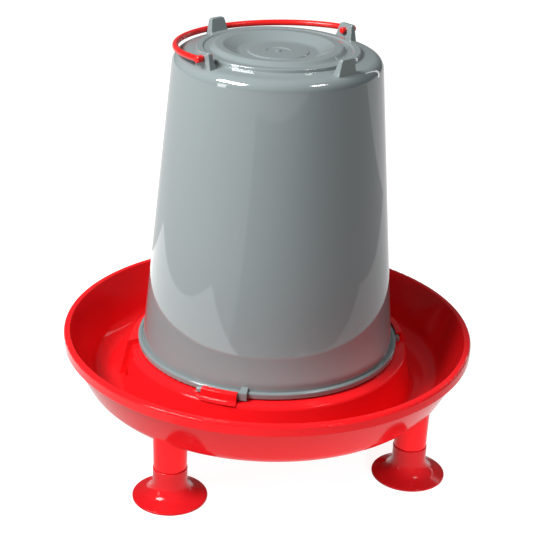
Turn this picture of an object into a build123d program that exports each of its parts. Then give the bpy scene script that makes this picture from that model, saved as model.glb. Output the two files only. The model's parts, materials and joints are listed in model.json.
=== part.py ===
"""Poultry waterer: a grey fount twisted onto a red drinking trough that stands on four push-in feet.

Every solid is written in one frame, in millimetres: +Z up, the floor at z = 0, the fount's axis on the Z axis.
"""

import math
import os

from build123d import *

# ---------------------------------------------------------------- overall sizes
tray_radius = 185.0            # outside of the trough's lip
stand_height = 51.0            # floor to the trough's underside
bowl_height = 52.5             # trough's underside to the crest of the lip
fount_mouth_radius = 114.0     # outside of the fount's wall at the flange's underside
fount_height = 268.0           # flange's underside to the top of the shoulder
fount_draft = 5.35             # slope of the fount's wall, degrees

# ---------------------------------------------------------------- trough
trough_skin = 2.6              # wall of the trough
lip_width = 5.6                # crest of the lip, across
lip_skirt = 10.0               # outside of the lip, top to bottom
lip_overhang = 2.6             # how far the lip stands out from the bowl's wall
bowl_slope = 27.5              # lean of the bowl's wall from upright, degrees
bowl_corner = 22.0             # rounding between the bowl's wall and its floor
collar_height = 35.5           # trough floor to the ledge under the flange
collar_top_width = 12.5        # well wall to the collar's outer shoulder
collar_fall = 2.2              # drop of the collar's top, from ledge to shoulder
collar_flare = 7.0             # how much wider the collar is at the trough floor
collar_edge = 3.6              # rounding of the collar's shoulder
ledge_width = 3.6              # level part of the collar's top, under the flange
well_clearance = 2.2           # well wall to the fount's mouth ring
well_foot_rounding = 2.0
collar_foot_rounding = 4.0     # between the collar and the trough's floor
ledge_edge = 0.5
lip_inner_edge = 1.2
lip_outer_edge = 2.4
skirt_edge = 0.8
under_rounding = 1.5           # hollow under the collar, at its foot and at the well

# ---------------------------------------------------------------- outlet in the collar
outlet_angle = 179.1           # where round the axis, degrees
outlet_span = 15.5             # width of the outlet channel, degrees
outlet_depth = 4.2             # channel is sunk this far into the collar
outlet_window_width = 24.0     # window through the foot of the collar
outlet_window_height = 9.0
outlet_margin = 1.6            # solid cheek beside the channel, degrees
cut_over = 5.0                 # a cutting solid runs this far past what it cuts

# ---------------------------------------------------------------- twist lock
hook_count = 3
hook_angle = 237.6             # first hook's middle, degrees
hook_span = 14.8               # width of a hook, degrees
hook_wall = 2.4                # upright wall of a hook
hook_lip_height = 2.3          # thickness of the hook's lip
hook_edge = 1.0                # rounding of the hook's top
hook_sink = 1.6                # hook's root below the ledge
hook_draft = 0.6               # hook's wall is this much thicker at its foot
hook_foot_spread = 3.6         # run-out of the hook's foot on the collar
hook_foot_rounding = 2.5
root_sink = 1.0                # tab, rib or lug starts this far inside what carries it
lock_gap = 0.6                 # hook to tab, all round
flange_gap = 1.0               # hook's lip to the plain flange
tab_lead = 2.8                 # tab's end shows this far past the hook, degrees
tab_reach = 3.9                # tab stands out from the flange
tab_height = 3.8
tab_edge = 0.8
stop_clearance = 0.9           # stop rib to the hook's end, degrees
stop_span = 2.9                # width of the stop rib, degrees
stop_height = 9.0              # stop rib above the flange's underside
stop_slope = 1.6               # fall of the rib's top, from the wall outward

# ---------------------------------------------------------------- fount
fount_skin = 2.2               # wall of the fount
flange_reach = 4.0             # flange stands out from the wall
flange_height = 6.0
flange_groove = 0.7            # fine groove between the wall and the flange's top
flange_edge = 1.6              # rounding of the flange
seat_gap = 0.4                 # flange's underside to the ledge
mouth_ring_inset = 1.2         # mouth ring steps in from the wall
mouth_ring_dip = 24.0          # mouth ring reaches below the flange
mouth_ring_edge = 0.8
shoulder_rounding = 10.0
crown_lift = 2.6               # top rises this much from the shoulder to the crown's foot
crown_radius = 70.0            # raised disc on top
crown_rise = 3.3
crown_rim_width = 6.0          # level band round the crown's edge
crown_groove_depth = 1.2       # shallow ring inside that band
crown_ring_radius = 50.5       # middle of the raised ring on the crown
crown_ring_width = 9.0
crown_ring_rise = 1.9
dish_radius = 34.5             # sunk middle of the crown
dish_depth = 4.0
dish_step_radius = 26.5
dish_step_rise = 1.0
gate_ring_radius = 10.5
gate_radius = 2.4

# ---------------------------------------------------------------- lugs on the fount's top
lug_count = 4
lug_angle = 28.9               # first lug, degrees
lug_radius = 81.2              # axis to the middle of a lug's thickness
lug_thickness = 3.8            # at its top
lug_lean = 3.6                 # extra thickness at the root, on the inner side
lug_height = 14.2
lug_base_width = 20.4
lug_top_width = 14.0
lug_rounding = 2.2
lug_hole_radius = 2.5
lug_hole_height = 8.9          # above the shoulder
lug_edge = 0.7                 # rounding of the lug's top edges

# ---------------------------------------------------------------- bail
bail_lug_gap = 0.43            # half ring to the corners of the lugs
bail_rod_radius = 2.65
bail_droop = 3.5               # at rest it hangs this far below level, degrees
bail_boss_radius = 3.0         # end boss outside the lug
bail_boss_length = 6.0
bail_boss_edge = 0.5
bail_button_edge = 1.2
bail_pin_fit = 0.08            # pin smaller than the lug's hole, on radius
bail_side_gap = 0.5            # boss and button to the lug's faces
bail_button_radius = 2.9
bail_button_length = 3.0

# ---------------------------------------------------------------- leg stubs and feet
leg_circle_inset = 33.2        # lip's outside to a leg's axis
leg_radius = 14.3              # stub, outside, at its lower end
leg_taper = 0.9                # stub is this much wider at the bowl
leg_skin = 2.4
leg_edge = 0.7                 # chamfer at the seam between stub and foot
foot_radius = 32.3
foot_height = 29.6             # floor to the seam
foot_collar_step = 0.6         # foot's collar is this much wider than the stub's end
foot_shoulder_edge = 0.8       # rounding of the collar under the seam
foot_rise = 6.0                # disc's slope, rim to collar
foot_flare = 13.0              # hollow curve between collar and disc
foot_skin = 2.6
foot_rim_height = 1.9
foot_rim_edge = 0.8
spigot_lead = 1.2              # height of the taper at the spigot's end
spigot_lead_in = 0.9           # and how far it goes in
foot_spigot_height = 16.0      # above the seam
spigot_fit = 0.06              # spigot smaller than the socket, on radius
seam_gap = 0.1                 # foot's shoulder to the stub's end

# ---------------------------------------------------------------- levels and radii that follow
trough_floor_z = stand_height + trough_skin
rim_z = stand_height + bowl_height
ledge_z = trough_floor_z + collar_height
flange_z = ledge_z + seat_gap
shoulder_z = flange_z + fount_height
flange_radius = fount_mouth_radius + flange_reach
mouth_ring_radius = fount_mouth_radius - mouth_ring_inset
well_radius = mouth_ring_radius + well_clearance
collar_shoulder_radius = well_radius + collar_top_width
tab_radius = flange_radius + tab_reach
hook_inner_radius = tab_radius + lock_gap
leg_circle_radius = tray_radius - leg_circle_inset
pivot_z = shoulder_z + lug_hole_height
lug_corner_radius = math.hypot(lug_radius + lug_thickness / 2, lug_base_width / 2)
bail_radius = lug_corner_radius + bail_lug_gap + bail_rod_radius
draft_ratio = math.tan(math.radians(fount_draft))
slope_ratio = math.tan(math.radians(bowl_slope))


def turned(outline, start=0.0, span=360.0):
    """Solid turned about Z from (radius, z, rounding) corners; start and span are degrees round the axis."""
    face = make_face(Polyline(*[(r, z) for r, z, _ in outline], close=True))
    for rounding in sorted({corner[2] for corner in outline if corner[2] > 0}):
        places = [Vector(r, z) for r, z, size in outline if size == rounding]
        corners = [v for v in face.vertices() if any((Vector(*v) - place).length < 1e-6 for place in places)]
        face = fillet(corners, rounding)
    solid = revolve(Plane.XZ * face, Axis.Z, revolution_arc=span)
    return Rot(0, 0, start) * solid


def about_axis(angle, solid):
    """Carries a solid made at azimuth 0 round to an azimuth in degrees."""
    return Rot(0, 0, angle) * solid


def hook_middles():
    return [hook_angle + 360.0 / hook_count * k for k in range(hook_count)]


def lug_middles():
    return [lug_angle + 360.0 / lug_count * k for k in range(lug_count)]


# ---------------------------------------------------------------- trough
def bowl_wall_radius(z):
    """Outside of the bowl's sloping wall at a height."""
    return tray_radius - lip_overhang - (rim_z - lip_skirt - z) * slope_ratio


def trough_upper_corners():
    """Upper face of the trough, from the well's middle out to the lip's inner edge."""
    wall_top = bowl_wall_radius(rim_z) - trough_skin
    return [
        (0.0, trough_floor_z, 0.0),
        (well_radius, trough_floor_z, well_foot_rounding),
        (well_radius, ledge_z, ledge_edge),
        (well_radius + ledge_width, ledge_z, 0.0),
        (collar_shoulder_radius, ledge_z - collar_fall, collar_edge),
        (collar_shoulder_radius + collar_flare, trough_floor_z, collar_foot_rounding),
        (bowl_wall_radius(trough_floor_z) - trough_skin, trough_floor_z, bowl_corner - trough_skin),
        (min(wall_top, tray_radius - lip_width), rim_z, lip_inner_edge),
    ]


def trough_lower_corners():
    """Lower face of the trough, from the lip's outer edge back in to the middle."""
    skin = trough_skin
    return [
        (tray_radius, rim_z, lip_outer_edge),
        (tray_radius, rim_z - lip_skirt, skirt_edge),
        (bowl_wall_radius(rim_z - lip_skirt), rim_z - lip_skirt, 0.0),
        (bowl_wall_radius(stand_height), stand_height, bowl_corner),
        (collar_shoulder_radius + collar_flare - skin, stand_height, under_rounding),
        (collar_shoulder_radius - skin, ledge_z - collar_fall - skin, 2.4),
        (well_radius + skin, ledge_z - skin, 0.8),
        (well_radius + skin, stand_height, under_rounding),
        (0.0, stand_height, 0.0),
    ]


def trough_shell():
    return turned(trough_upper_corners() + trough_lower_corners())


def trough_inside():
    """Everything above the trough's upper face."""
    over = rim_z + bowl_height
    return turned(trough_upper_corners() + [(tray_radius - lip_width, over, 0.0), (0.0, over, 0.0)])


def leg_places():
    """Middles of the four legs: front left, front right, back right, back left."""
    angles = [225.0, 315.0, 45.0, 135.0]
    radius = leg_circle_radius
    return [(radius * math.cos(math.radians(a)), radius * math.sin(math.radians(a))) for a in angles]


def leg_stub():
    """Hollow stub that takes a foot's spigot, run up past the bowl's wall."""
    top = stand_height + bowl_height * 0.6
    inside = leg_radius - leg_skin
    return turned([
        (inside, foot_height, 0.0),
        (leg_radius - leg_edge, foot_height, 0.0),
        (leg_radius, foot_height + leg_edge, 0.0),
        (leg_radius + leg_taper, top, 0.0),
        (inside, top, 0.0),
    ])


def outlet_block():
    """Solid fill of the hollow collar where the outlet channel runs."""
    span = outlet_span + 2 * outlet_margin
    return turned([
        (well_radius + 0.5 * trough_skin, stand_height, 0.0),
        (well_radius + 0.5 * trough_skin, ledge_z - 0.5 * trough_skin, 0.0),
        (collar_shoulder_radius - trough_skin, ledge_z - collar_fall - 0.6 * trough_skin, 0.0),
        (collar_shoulder_radius + collar_flare - 0.5 * trough_skin, stand_height, 0.0),
    ], outlet_angle - span / 2, span)


def outlet_channel():
    """Channel down the collar's outside that the water runs out of."""
    far = collar_shoulder_radius + collar_flare + collar_foot_rounding
    sunk = outlet_depth
    return turned([
        (collar_shoulder_radius + collar_flare - sunk, trough_floor_z, 0.0),
        (collar_shoulder_radius - sunk, ledge_z - collar_fall - sunk, collar_edge),
        (well_radius - root_sink, ledge_z - sunk, 0.0),
        (well_radius - root_sink, ledge_z + cut_over, 0.0),
        (far, ledge_z + cut_over, 0.0),
        (far, trough_floor_z, 0.0),
    ], outlet_angle - outlet_span / 2, outlet_span)


def outlet_window():
    """Window from the well through the foot of the collar into the channel."""
    length = collar_shoulder_radius - well_radius + 2 * cut_over
    middle = (well_radius + collar_shoulder_radius) / 2
    box = Box(length, outlet_window_width, outlet_window_height,
              align=(Align.CENTER, Align.CENTER, Align.MIN))
    return about_axis(outlet_angle, Pos(middle, 0, trough_floor_z) * box)


def lock_hook(middle):
    """Hook that stands on the collar and reaches in over a tab of the fount."""
    underside = flange_z + tab_height + lock_gap
    top = underside + hook_lip_height
    return turned([
        (hook_inner_radius, ledge_z - hook_sink, 0.0),
        (hook_inner_radius, underside, 0.0),
        (flange_radius + flange_gap, underside, 0.0),
        (flange_radius + flange_gap, top, hook_edge * 0.5),
        (hook_inner_radius + hook_wall, top, hook_edge),
        (hook_inner_radius + hook_wall + hook_draft, ledge_z + 0.2, hook_foot_rounding),
        (hook_inner_radius + hook_wall + hook_draft + hook_foot_spread, ledge_z - hook_sink, 0.0),
    ], middle - hook_span / 2, hook_span)


def base_trough():
    trough = trough_shell()
    inside = trough_inside()
    for x, y in leg_places():
        trough += (Pos(x, y, 0) * leg_stub()) - inside
    trough += outlet_block()
    trough -= outlet_channel()
    trough -= outlet_window()
    for middle in hook_middles():
        trough += lock_hook(middle)
    return trough


# ---------------------------------------------------------------- fount
def fount_wall_radius(z):
    """Outside of the fount's wall at a height."""
    return fount_mouth_radius - (z - flange_z) * draft_ratio


def crown_corners(z):
    """Top face of the fount from its outside corner in to the middle."""
    foot = z + crown_lift
    high = foot + crown_rise
    groove = high - crown_groove_depth
    rim_inside = crown_radius - crown_rim_width
    ring = crown_ring_width / 2
    ridge = high + crown_ring_rise
    dish = high - dish_depth
    step = dish + dish_step_rise
    return [
        (fount_wall_radius(z), z, shoulder_rounding),
        (crown_radius, foot, 0.8),
        (crown_radius - 0.6, high, 1.2),
        (rim_inside, high, 0.8),
        (rim_inside - 1.4, groove, 1.0),
        (crown_ring_radius + ring + 3.0, groove, 2.5),
        (crown_ring_radius + ring - 1.0, ridge, 3.0),
        (crown_ring_radius - ring + 1.0, ridge, 3.5),
        (dish_radius, dish, 6.0),
        (dish_step_radius, dish, 0.4),
        (dish_step_radius - 1.0, step, 0.4),
        (gate_ring_radius, step, 0.3),
        (gate_ring_radius - 1.0, step - 0.6, 0.3),
        (gate_radius, step - 0.6, 0.0),
        (gate_radius, step + 0.4, 0.4),
        (0.0, step + 0.4, 0.0),
    ]


def fount_shell():
    skin = fount_skin
    inner_top = shoulder_z - skin
    inner_crown = inner_top + crown_lift + crown_rise
    inner_dish = inner_crown - dish_depth
    flange_top = flange_z + flange_height
    return turned([
        (mouth_ring_radius - skin, flange_z - mouth_ring_dip, mouth_ring_edge),
        (mouth_ring_radius, flange_z - mouth_ring_dip, mouth_ring_edge),
        (mouth_ring_radius, flange_z, 0.0),
        (flange_radius, flange_z, flange_edge),
        (flange_radius, flange_top, flange_edge),
        (fount_wall_radius(flange_top) + 2 * flange_groove, flange_top, 0.3),
        (fount_wall_radius(flange_top) + flange_groove, flange_top - flange_groove, 0.3),
        (fount_wall_radius(flange_top - flange_groove), flange_top - flange_groove, 0.0),
    ] + crown_corners(shoulder_z) + [
        (0.0, inner_dish, 0.0),
        (dish_radius, inner_dish, 5.0),
        (crown_ring_radius - crown_ring_width / 2, inner_crown + crown_ring_rise, 4.0),
        (crown_ring_radius + crown_ring_width / 2, inner_crown + crown_ring_rise, 4.0),
        (crown_radius - crown_rim_width, inner_crown - crown_groove_depth, 1.0),
        (crown_radius - skin, inner_crown, 1.5),
        (crown_radius - 0.5 * skin, inner_top + crown_lift, 0.0),
        (fount_wall_radius(inner_top) - skin, inner_top, shoulder_rounding - skin),
        (fount_wall_radius(flange_top) - skin, flange_top, 4.0),
        (mouth_ring_radius - skin, flange_z, 4.0),
    ])


def lock_tab(middle):
    """Tab on the flange that slides under a hook."""
    start = middle - hook_span / 2 - tab_lead
    end = middle + hook_span / 2 + stop_clearance + stop_span / 2
    return turned([
        (flange_radius - root_sink, flange_z, 0.0),
        (tab_radius, flange_z, tab_edge),
        (tab_radius, flange_z + tab_height, tab_edge),
        (flange_radius - root_sink, flange_z + tab_height, 0.0),
    ], start, end - start)


def stop_rib(middle):
    """Rib on the flange that meets the hook's end when the fount is locked."""
    start = middle + hook_span / 2 + stop_clearance
    top = flange_z + stop_height
    return turned([
        (fount_wall_radius(flange_z) - root_sink, flange_z, 0.0),
        (tab_radius, flange_z, 0.6),
        (tab_radius, top - stop_slope, 1.4),
        (fount_wall_radius(top) - root_sink, top, 0.0),
    ], start, stop_span)


def top_lug():
    """Tapered plate across the radius: upright outside, leaning inside, with rounded top corners."""
    half_base = lug_base_width / 2
    half_top = lug_top_width / 2
    sink = root_sink
    outline = Polyline((-half_base, -sink), (half_base, -sink), (half_base, 0), (half_top, lug_height),
                       (-half_top, lug_height), (-half_base, 0), close=True)
    face = make_face(outline)
    crown = [v for v in face.vertices() if v.Y > lug_height - 0.01]
    face = fillet(crown, lug_rounding)
    front = extrude(Plane.YZ * face, amount=2 * lug_thickness, both=True)
    outside = lug_thickness / 2
    side = make_face(Polyline((outside, -sink), (outside, lug_height), (-outside, lug_height),
                              (-outside - lug_lean, 0), (-outside - lug_lean, -sink), close=True))
    side = extrude(Plane.XZ * side, amount=half_base, both=True)
    plate = front & side
    rim = [e for e in plate.edges() if e.center().Z > 0.75 * lug_height and e.length > 0.5 * lug_top_width]
    return Pos(lug_radius, 0, shoulder_z) * fillet(rim, lug_edge)


def lug_hole():
    """Radial hole for the bail's pin."""
    return Pos(lug_radius, 0, pivot_z) * Rot(0, 90, 0) * Cylinder(lug_hole_radius, lug_thickness * 3)


def fount():
    body = fount_shell()
    for middle in hook_middles():
        body += lock_tab(middle)
        body += stop_rib(middle)
    for k, middle in enumerate(lug_middles()):
        lug = top_lug()
        if k % 2 == 0:
            lug -= lug_hole()
        body += about_axis(middle, lug)
    return body


# ---------------------------------------------------------------- bail
def bail_end():
    """Boss, pin and button of one end, along +X from the hinge's middle."""
    outer_face = lug_radius + lug_thickness / 2 + bail_side_gap
    lean = lug_lean * (1 - (lug_hole_height - bail_button_radius) / lug_height)
    inner_face = lug_radius - lug_thickness / 2 - lean - bail_side_gap
    along = Rot(0, 90, 0)
    up = (Align.CENTER, Align.CENTER, Align.MIN)
    boss = Pos(outer_face, 0, 0) * along * Cylinder(bail_boss_radius, bail_boss_length, align=up)
    boss = chamfer(boss.edges().filter_by(GeomType.CIRCLE), bail_boss_edge)
    pin_start = inner_face - bail_button_length / 2
    pin = Pos(pin_start, 0, 0) * along * Cylinder(
        lug_hole_radius - bail_pin_fit, outer_face - pin_start + 1.0, align=up)
    button_start = inner_face - bail_button_length
    button = Pos(button_start, 0, 0) * along * Cylinder(bail_button_radius, bail_button_length, align=up)
    button = fillet(button.edges().filter_by(GeomType.CIRCLE), bail_button_edge)
    return boss + pin + button


def carrying_bail():
    ring = Torus(bail_radius, bail_rod_radius)
    half = Box(4 * bail_radius, 2 * bail_radius, 4 * bail_rod_radius,
               align=(Align.CENTER, Align.MIN, Align.CENTER))
    bail = ring & half
    bail += bail_end()
    bail += Rot(0, 0, 180) * bail_end()
    return Pos(0, 0, pivot_z) * Rot(0, 0, lug_angle) * Rot(-bail_droop, 0, 0) * bail


# ---------------------------------------------------------------- feet
def foot():
    """Trumpet-shaped foot, hollow underneath, with a spigot that pushes up into a stub."""
    skin = foot_skin
    collar = leg_radius + foot_collar_step
    spigot = leg_radius - leg_skin - spigot_fit
    bore = spigot - skin * 0.9
    shoulder = foot_height - seam_gap
    return turned([
        (foot_radius, 0.0, 0.6),
        (foot_radius, foot_rim_height, foot_rim_edge),
        (collar, foot_rim_height + foot_rise, foot_flare),
        (collar, shoulder, foot_shoulder_edge),
        (spigot, shoulder, 0.0),
        (spigot, foot_height + foot_spigot_height - spigot_lead, 0.0),
        (spigot - spigot_lead_in, foot_height + foot_spigot_height, 0.0),
        (bore, foot_height + foot_spigot_height, 0.0),
        (bore, foot_rim_height + foot_rise - skin, foot_flare),
        (foot_radius - skin, foot_rim_height - skin * 0.55, 0.0),
        (foot_radius - skin, 0.0, 0.0),
    ])


def main():
    os.makedirs("parts", exist_ok=True)
    pieces = {
        "fount": fount(),
        "base_trough": base_trough(),
        "carrying_bail": carrying_bail(),
    }
    names = ["foot_front_left", "foot_front_right", "foot_back_right", "foot_back_left"]
    for name, (x, y) in zip(names, leg_places()):
        pieces[name] = Pos(x, y, 0) * foot()
    for name, piece in pieces.items():
        piece.label = name
        export_step(piece, f"parts/{name}.step")


main()
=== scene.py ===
"""Looks of the poultry drinker: materials, studio light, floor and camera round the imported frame.

Lengths are in metres.
"""

import json
import math

import bpy
from mathutils import Euler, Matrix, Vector


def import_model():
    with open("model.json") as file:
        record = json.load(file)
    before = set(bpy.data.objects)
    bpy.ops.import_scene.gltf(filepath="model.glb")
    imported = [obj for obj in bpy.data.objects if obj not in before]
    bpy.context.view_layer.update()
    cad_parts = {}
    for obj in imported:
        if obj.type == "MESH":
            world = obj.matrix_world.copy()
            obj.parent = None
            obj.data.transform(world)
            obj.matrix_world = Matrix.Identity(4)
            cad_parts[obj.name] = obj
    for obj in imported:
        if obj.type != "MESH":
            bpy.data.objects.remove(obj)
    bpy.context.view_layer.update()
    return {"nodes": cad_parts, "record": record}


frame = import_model()

# ---------------------------------------------------------------- camera
CAMERA_AZIMUTH = -14.0         # degrees
CAMERA_REACH = 1.1609          # level distance from the object's axis
CAMERA_HEIGHT = 0.6737
CAMERA_PITCH = 0.4159          # downward, radians
CAMERA_YAW = -0.0026           # aim past the axis, positive to the right, radians
CAMERA_ROLL = 0.0386           # radians
CAMERA_LENS = 95.34            # millimetres
CAMERA_SENSOR = 36.0           # millimetres

# ---------------------------------------------------------------- plastic
PLASTIC_IOR = 1.45
MOTTLE_SCALE = 9.0             # slow unevenness of colour and sheen
SHEEN_SPREAD = 0.1             # roughness varies by this share, either way
GRAIN_DEPTH = 0.0004
EDGE_ANGLE = 38.0              # faces that meet at more than this stay crisp, degrees

# ---------------------------------------------------------------- floor and light
FLOOR_SIZE = 12.0
FLOOR_GLOW = 0.88
BOUNCE_SIZE = 1.0
BOUNCE_POWER = 1.3
WORLD_COLOUR = (0.95, 0.97, 1, 1)
WORLD_STRENGTH = 0.17
LAMP_TARGET = (0, 0, 0.2)      # about the middle of the object
WHITE = (1, 1, 1, 1)


# ---------------------------------------------------------------- materials
def plastic(name, colour, roughness, gloss, grain_scale, grain_strength, tint):
    """Moulded plastic: a Principled surface with faint waviness and a slightly uneven sheen."""
    material = bpy.data.materials.new(name)
    material.use_nodes = True
    tree = material.node_tree
    shader = tree.nodes["Principled BSDF"]
    shader.inputs["IOR"].default_value = PLASTIC_IOR
    shader.inputs["Specular IOR Level"].default_value = gloss
    place = tree.nodes.new("ShaderNodeTexCoord")
    mottle = tree.nodes.new("ShaderNodeTexNoise")
    mottle.inputs["Scale"].default_value = MOTTLE_SCALE
    mottle.inputs["Detail"].default_value = 3.0
    shade = tree.nodes.new("ShaderNodeMix")
    shade.data_type = "RGBA"
    shade.inputs["A"].default_value = tuple(c * (1 - tint) for c in colour) + (1.0,)
    shade.inputs["B"].default_value = tuple(c * (1 + tint) for c in colour) + (1.0,)
    rough = tree.nodes.new("ShaderNodeMapRange")
    rough.inputs["To Min"].default_value = roughness * (1 - SHEEN_SPREAD)
    rough.inputs["To Max"].default_value = roughness * (1 + SHEEN_SPREAD)
    grain = tree.nodes.new("ShaderNodeTexNoise")
    grain.inputs["Scale"].default_value = grain_scale
    grain.inputs["Detail"].default_value = 2.0
    bump = tree.nodes.new("ShaderNodeBump")
    bump.inputs["Strength"].default_value = grain_strength
    bump.inputs["Distance"].default_value = GRAIN_DEPTH
    link = tree.links.new
    link(place.outputs["Object"], mottle.inputs["Vector"])
    link(place.outputs["Object"], grain.inputs["Vector"])
    link(mottle.outputs["Fac"], shade.inputs["Factor"])
    link(shade.outputs["Result"], shader.inputs["Base Color"])
    link(mottle.outputs["Fac"], rough.inputs["Value"])
    link(rough.outputs["Result"], shader.inputs["Roughness"])
    link(grain.outputs["Fac"], bump.inputs["Height"])
    link(bump.outputs["Normal"], shader.inputs["Normal"])
    return material


def glowing(name, grey, specular, strength):
    """Matt surface that gives off an even white light of its own."""
    material = bpy.data.materials.new(name)
    material.use_nodes = True
    shader = material.node_tree.nodes["Principled BSDF"]
    shader.inputs["Base Color"].default_value = (grey, grey, grey, 1)
    shader.inputs["Roughness"].default_value = 0.9
    shader.inputs["Specular IOR Level"].default_value = specular
    shader.inputs["Emission Color"].default_value = WHITE
    shader.inputs["Emission Strength"].default_value = strength
    return material


def dress(obj, material):
    obj.data.materials.clear()
    obj.data.materials.append(material)


def smooth_shading(obj):
    """Smooth curved faces and crisp edges, by the angle between faces."""
    for polygon in obj.data.polygons:
        polygon.use_smooth = True
    obj.data.set_sharp_from_angle(angle=math.radians(EDGE_ANGLE))


# ---------------------------------------------------------------- floor and what the plastic mirrors
def floor():
    """White floor under the object; it is seen, but the plastic mirrors the cards in its place."""
    bpy.ops.mesh.primitive_plane_add(size=FLOOR_SIZE, location=(0, 0, -0.0002))
    plane = bpy.context.object
    plane.name = "floor"
    plane.data.materials.append(glowing("floor_white", grey=0.40, specular=0.1, strength=FLOOR_GLOW))
    plane.visible_diffuse = False
    plane.visible_glossy = False
    return plane


def mirrored_card(name, corners, height, strength):
    """Card on the floor that only the plastic mirrors; its corners are (right, toward the camera)."""
    turn = math.radians(CAMERA_AZIMUTH)
    right = Vector((math.cos(turn), math.sin(turn), 0))
    toward = Vector((math.sin(turn), -math.cos(turn), 0))
    mesh = bpy.data.meshes.new(name)
    places = [right * x + toward * y + Vector((0, 0, height)) for x, y in corners]
    mesh.from_pydata(places, [], [tuple(range(len(places)))])
    mesh.materials.append(glowing(name, grey=0.03, specular=0.5, strength=strength))
    card = bpy.data.objects.new(name, mesh)
    bpy.context.collection.objects.link(card)
    card.visible_camera = False
    card.visible_diffuse = False
    card.visible_shadow = False
    return card


def mirrored_table():
    """Pale table as the plastic mirrors it, darker in front and at the right, brighter at the left."""
    half = FLOOR_SIZE / 2
    table = [(-half, -half), (half, -half), (half, half), (-half, half)]
    front = [(-0.28, 0.48), (0.25, 0.48), (0.65, 0.03), (0.55, -0.6), (2.5, -0.6), (2.5, 2.6), (-0.9, 2.6)]
    patch = [(-0.60, 0.48), (-0.20, 0.48), (-0.20, -0.40), (-0.60, -0.40)]
    return [
        mirrored_card("mirrored_table", table, 0.0001, 0.85),
        mirrored_card("mirrored_front", front, 0.001, 0.50),
        mirrored_card("mirrored_patch", patch, 0.001, 1.7),
    ]


# ---------------------------------------------------------------- light
def area_lamp(name, power, reflected):
    """Area light that the camera doesn't see, with its size and place still to be set."""
    data = bpy.data.lights.new(name, "AREA")
    data.energy = power
    lamp = bpy.data.objects.new(name, data)
    bpy.context.collection.objects.link(lamp)
    lamp.visible_camera = False
    lamp.visible_glossy = reflected
    return lamp


def softbox(name, azimuth, elevation, distance, width, height, power, target=LAMP_TARGET, spread=180.0,
            reflected=True):
    """Oblong light that looks at a target from an azimuth and an elevation, in degrees."""
    a = math.radians(azimuth)
    e = math.radians(elevation)
    lamp = area_lamp(name, power, reflected)
    lamp.data.shape = "RECTANGLE"
    lamp.data.size = width
    lamp.data.size_y = height
    lamp.data.spread = math.radians(spread)
    way = Vector((math.sin(a) * math.cos(e), -math.cos(a) * math.cos(e), math.sin(e)))
    lamp.location = Vector(target) + way * distance
    lamp.rotation_euler = (-way).to_track_quat("-Z", "Y").to_euler()


def floor_bounce():
    """Light that a white floor round the object throws up onto the trough's outside."""
    lamp = area_lamp("floor_bounce", BOUNCE_POWER, reflected=False)
    lamp.data.shape = "DISK"
    lamp.data.size = BOUNCE_SIZE
    lamp.location = (0, 0, 0.003)
    lamp.rotation_euler = (math.pi, 0, 0)


def world():
    scene_world = bpy.data.worlds.new("studio")
    bpy.context.scene.world = scene_world
    scene_world.use_nodes = True
    background = scene_world.node_tree.nodes["Background"]
    background.inputs["Color"].default_value = WORLD_COLOUR
    background.inputs["Strength"].default_value = WORLD_STRENGTH


def camera():
    turn = math.radians(CAMERA_AZIMUTH)
    data = bpy.data.cameras.new("camera")
    data.sensor_fit = "HORIZONTAL"
    data.sensor_width = CAMERA_SENSOR
    data.lens = CAMERA_LENS
    data.clip_start = 0.05
    data.clip_end = 40.0
    eye = bpy.data.objects.new("camera", data)
    bpy.context.collection.objects.link(eye)
    eye.location = (math.sin(turn) * CAMERA_REACH, -math.cos(turn) * CAMERA_REACH, CAMERA_HEIGHT)
    aim = Euler((math.pi / 2 - CAMERA_PITCH, 0, turn - CAMERA_YAW), "XYZ").to_matrix()
    eye.rotation_euler = (aim @ Euler((0, 0, CAMERA_ROLL), "XYZ").to_matrix()).to_euler()
    bpy.context.scene.camera = eye


# ---------------------------------------------------------------- dressing the nodes
materials = {
    "fount_grey": plastic("fount_grey", (0.206, 0.242, 0.246), roughness=0.030, gloss=1.0,
                          grain_scale=60.0, grain_strength=0.04, tint=0.03),
    "trough_red": plastic("trough_red", (0.76, 0.0100, 0.0135), roughness=0.10, gloss=0.19,
                          grain_scale=60.0, grain_strength=0.04, tint=0.03),
    "bail_red": plastic("bail_red", (0.64, 0.012, 0.010), roughness=0.24, gloss=0.4,
                        grain_scale=80.0, grain_strength=0.05, tint=0.02),
    "foot_red": plastic("foot_red", (0.46, 0.008, 0.011), roughness=0.12, gloss=0.26,
                        grain_scale=60.0, grain_strength=0.04, tint=0.03),
}
slot_of = {entry["node"]: entry["material_slot"] for entry in frame["record"]["subparts"]}
for node, obj in frame["nodes"].items():
    dress(obj, materials[slot_of[node]])
    smooth_shading(obj)

# ---------------------------------------------------------------- studio
softbox("key_left", azimuth=-72, elevation=46, distance=1.5, width=0.70, height=0.40, power=37)
softbox("fill_right", azimuth=44, elevation=54, distance=1.5, width=0.34, height=0.20, power=4)
softbox("window_left", azimuth=-72, elevation=12, distance=1.3, width=0.22, height=0.55, power=2.2)
softbox("side_right", azimuth=120, elevation=16, distance=1.4, width=0.10, height=1.1, power=0.9)
softbox("feet_front", azimuth=8, elevation=9, distance=0.8, width=0.5, height=0.05, power=0.26,
        target=(0, 0, -0.01), spread=24.0, reflected=False)
floor_bounce()
floor()
mirrored_table()
world()
camera()
bpy.context.scene.view_settings.view_transform = "Standard"
